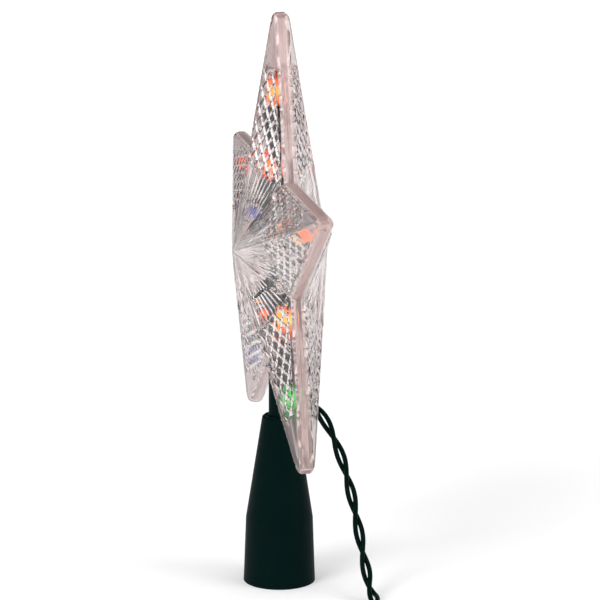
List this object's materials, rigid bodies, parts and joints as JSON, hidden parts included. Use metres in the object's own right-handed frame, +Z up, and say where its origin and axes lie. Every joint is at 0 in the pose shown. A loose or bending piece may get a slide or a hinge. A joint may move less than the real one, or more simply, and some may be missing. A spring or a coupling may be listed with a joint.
{
  "type": "christmas tree topper star",
  "caption": "Lighted clear five-point star on a hollow dark green cone, with lamps inside its arms and a twisted mains lead.",
  "frame": {"origin": "centre of the cone's open end, on the ground plane", "axes": "+Z up through the cone and the star's top arm, -Y to the star's front, +X to the star's right seen from the front"},
  "size_m": [0.2728, 0.0663, 0.245],
  "materials": {
    "clear_shell": "clear, glossy, cut pattern on the inside",
    "cone_plastic": "dark green satin moulding",
    "stem_plastic": "dark green satin tube",
    "grommet_rubber": "soft, matt",
    "wire_insulation": "dark green flexible insulation",
    "tie_plastic": "plastic-coated tie",
    "plug_plastic": "dark green moulding",
    "blade_brass": "stamped",
    "door_plastic": "dark green moulding",
    "fuse_glass": "glass tube with metal caps",
    "filament_wire": "fine wire",
    "socket_plastic": "dark green moulding",
    "base_plastic": "dark green moulding",
    "glass_orange": "coloured lamp glass",
    "glass_red": "coloured lamp glass",
    "glass_yellow": "coloured lamp glass",
    "glass_green": "coloured lamp glass",
    "glass_blue": "coloured lamp glass"
  },
  "bodies": {
    "main": {"front_shell": "clear_shell", "tree_cone": "cone_plastic", "stem_tube": "stem_plastic", "cord_grommet": "grommet_rubber", "jumper_wires": "wire_insulation", "feed_wires": "wire_insulation", "cord_lead": "wire_insulation", "cord_coil": "wire_insulation", "coil_tie": "tie_plastic", "plug_body": "plug_plastic", "plug_blades": "blade_brass", "plug_fuses": "fuse_glass", "lamp_filaments": "filament_wire", "socket_lower_left_inner": "socket_plastic", "bulb_base_lower_left_inner": "base_plastic", "bulb_lower_left_inner": "glass_red", "socket_lower_left_outer": "socket_plastic", "bulb_base_lower_left_outer": "base_plastic", "bulb_lower_left_outer": "glass_blue", "socket_upper_left_inner": "socket_plastic", "bulb_base_upper_left_inner": "base_plastic", "bulb_upper_left_inner": "glass_yellow", "socket_upper_left_outer": "socket_plastic", "bulb_base_upper_left_outer": "base_plastic", "bulb_upper_left_outer": "glass_red", "socket_top_inner": "socket_plastic", "bulb_base_top_inner": "base_plastic", "bulb_top_inner": "glass_red", "socket_top_outer": "socket_plastic", "bulb_base_top_outer": "base_plastic", "bulb_top_outer": "glass_orange", "socket_upper_right_inner": "socket_plastic", "bulb_base_upper_right_inner": "base_plastic", "bulb_upper_right_inner": "glass_orange", "socket_upper_right_outer": "socket_plastic", "bulb_base_upper_right_outer": "base_plastic", "bulb_upper_right_outer": "glass_yellow", "socket_lower_right_inner": "socket_plastic", "bulb_base_lower_right_inner": "base_plastic", "bulb_lower_right_inner": "glass_orange", "socket_lower_right_outer": "socket_plastic", "bulb_base_lower_right_outer": "base_plastic", "bulb_lower_right_outer": "glass_green"},
    "rear_cover": {"rear_shell": "clear_shell"},
    "fuse_door": {"fuse_door": "door_plastic"}
  },
  "joints": [
    {"name": "rear_shell_pull", "type": "slide", "parent": "main", "child": "rear_cover", "axis": [0, 1, 0], "range_m": [0, 0.045]},
    {"name": "fuse_door_slide", "type": "slide", "parent": "main", "child": "fuse_door", "axis": [1, 0, 0], "range_m": [0, 0.008]}
  ]
}
